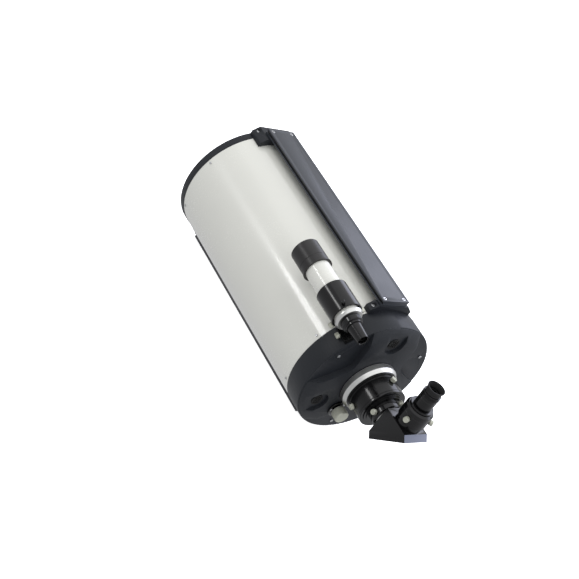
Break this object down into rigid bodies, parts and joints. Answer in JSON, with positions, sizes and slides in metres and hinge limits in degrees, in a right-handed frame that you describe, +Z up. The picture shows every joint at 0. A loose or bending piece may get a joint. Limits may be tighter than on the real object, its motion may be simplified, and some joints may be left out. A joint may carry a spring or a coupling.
{
  "type": "schmidt cassegrain telescope",
  "caption": "Short closed optical tube with dovetail rails, side finder, rear adapter, star diagonal and eyepiece, for viewing the sky.",
  "frame": {"origin": "centre of the lower dovetail rail's outer face, at its mid-length", "axes": "+Z up, square to that face, towards the upper rail; +Y along the optical axis from the corrector plate towards the eyepiece; +X towards the finder's side"},
  "size_m": [0.3438, 0.8507, 0.3863],
  "materials": {
    "tube_paint": "gloss",
    "cell_paint": "satin",
    "rail_anodised": "satin",
    "black_anodised": "gloss",
    "silver_aluminium": "satin",
    "steel_screw": "polished",
    "black_screw": "satin",
    "optical_glass": "polished",
    "mirror_coating": "polished",
    "brass_part": "machined",
    "chrome_barrel": "polished",
    "eyecup_rubber": "matte",
    "finder_paint": "gloss",
    "matte_black": "matte"
  },
  "bodies": {
    "tube_assembly": {"optical_tube": "tube_paint", "front_cell": "cell_paint", "corrector_plate": "optical_glass", "corrector_retainer": "matte_black", "retainer_screws": "black_screw", "secondary_housing": "black_anodised", "secondary_ring": "black_anodised", "secondary_cell": "matte_black", "secondary_shield": "matte_black", "secondary_mirror": "mirror_coating", "collimation_screws": "black_screw", "primary_baffle": "matte_black", "rear_cell": "cell_paint", "vent_screens": "matte_black", "focus_bearing": "steel_screw", "focus_plate": "black_anodised", "tube_screws": "black_screw", "rear_cell_screws": "steel_screw", "upper_rail": "rail_anodised", "lower_rail": "rail_anodised", "saddle_blocks": "rail_anodised", "rail_screws": "steel_screw", "adapter_ring": "silver_aluminium", "adapter_body": "black_anodised", "adapter_screws": "steel_screw", "finder_shoe": "black_anodised"},
    "primary": {"primary_mirror": "mirror_coating", "mirror_carrier": "silver_aluminium", "mirror_lock_ring": "silver_aluminium", "focus_rod": "steel_screw"},
    "focus_control": {"focus_knob": "silver_aluminium", "focus_spindle": "brass_part"},
    "rotating_collar": {"collar": "black_anodised"},
    "collar_screw_1": {"collar_thumbscrew_1": "steel_screw"},
    "collar_screw_2": {"collar_thumbscrew_2": "steel_screw"},
    "diagonal": {"diagonal_nosepiece": "silver_aluminium", "diagonal_body": "black_anodised", "diagonal_base": "black_anodised", "diagonal_mirror": "mirror_coating", "diagonal_screws": "black_screw", "eyepiece_holder": "black_anodised"},
    "holder_screw_1": {"holder_thumbscrew_1": "steel_screw"},
    "holder_screw_2": {"holder_thumbscrew_2": "steel_screw"},
    "reducer": {"eyepiece_reducer": "black_anodised"},
    "eyepiece": {"eyepiece_barrel": "chrome_barrel", "eyepiece_body": "black_anodised", "eyepiece_lenses": "optical_glass", "eyecup": "eyecup_rubber"},
    "finder": {"finder_bracket": "black_anodised", "finder_oring": "eyecup_rubber", "finder_spring_pin": "steel_screw", "finder_tube": "finder_paint", "finder_dew_shield": "black_anodised", "finder_objective": "optical_glass", "finder_rear_ring": "silver_aluminium"},
    "finder_focuser": {"finder_eyepiece": "black_anodised", "finder_eye_lens": "optical_glass"},
    "finder_screw_1": {"finder_adjuster_1": "steel_screw"},
    "finder_screw_2": {"finder_adjuster_2": "steel_screw"},
    "shoe_screw": {"shoe_thumbscrew": "steel_screw"}
  },
  "joints": [
    {"name": "primary_focus", "type": "slide", "parent": "tube_assembly", "child": "primary", "axis": [0, 1, 0], "range_m": [-0.008, 0.008]},
    {"name": "focus_knob_turn", "type": "hinge", "parent": "tube_assembly", "child": "focus_control", "pos_m": [0.03419, 0.386, 0.10346], "axis": [0, 1, 0], "range_deg": [-2880, 2880]},
    {"name": "collar_rotation", "type": "hinge", "parent": "tube_assembly", "child": "rotating_collar", "pos_m": [0, 0.4385, 0.184], "axis": [0, 1, 0], "range_deg": [-180, 180]},
    {"name": "diagonal_rotation", "type": "hinge", "parent": "rotating_collar", "child": "diagonal", "pos_m": [0, 0.461, 0.184], "axis": [0, 1, 0], "range_deg": [-180, 180]},
    {"name": "reducer_slide", "type": "slide", "parent": "diagonal", "child": "reducer", "axis": [0, 0, 1], "range_m": [0, 0.02]},
    {"name": "eyepiece_slide", "type": "slide", "parent": "reducer", "child": "eyepiece", "axis": [0, 0, 1], "range_m": [0, 0.02]},
    {"name": "finder_shoe_slide", "type": "slide", "parent": "tube_assembly", "child": "finder", "axis": [0, 1, 0], "range_m": [0, 0.03]},
    {"name": "finder_focus", "type": "slide", "parent": "finder", "child": "finder_focuser", "axis": [0, 1, 0], "range_m": [0, 0.006]},
    {"name": "collar_screw_1_turn", "type": "hinge", "parent": "rotating_collar", "child": "collar_screw_1", "pos_m": [0.03398, 0.451, 0.18938], "axis": [0.9877, 0, 0.1564], "range_deg": [0, 720]},
    {"name": "collar_screw_2_turn", "type": "hinge", "parent": "rotating_collar", "child": "collar_screw_2", "pos_m": [-0.02165, 0.451, 0.21073], "axis": [-0.6293, 0, 0.7771], "range_deg": [0, 720]},
    {"name": "holder_screw_1_turn", "type": "hinge", "parent": "diagonal", "child": "holder_screw_1", "pos_m": [0.03054, 0.51982, 0.249], "axis": [0.9397, 0.342, 0], "range_deg": [0, 720]},
    {"name": "holder_screw_2_turn", "type": "hinge", "parent": "diagonal", "child": "holder_screw_2", "pos_m": [-0.0249, 0.52959, 0.249], "axis": [-0.766, 0.6428, 0], "range_deg": [0, 720]},
    {"name": "finder_screw_1_turn", "type": "hinge", "parent": "finder", "child": "finder_screw_1", "pos_m": [0.16128, 0.321, 0.31821], "axis": [0.309, 0, -0.9511], "range_deg": [0, 720]},
    {"name": "finder_screw_2_turn", "type": "hinge", "parent": "finder", "child": "finder_screw_2", "pos_m": [0.11661, 0.321, 0.35842], "axis": [-0.9781, 0, 0.2079], "range_deg": [0, 720]},
    {"name": "shoe_screw_turn", "type": "hinge", "parent": "tube_assembly", "child": "shoe_screw", "pos_m": [0.12823, 0.3255, 0.29205], "axis": [0.7431, 0, -0.6691], "range_deg": [0, 720]}
  ],
  "couplings": [
    {"joint": "focus_knob_turn", "follows": "primary_focus", "rad_per_m": 6283.2}
  ]
}
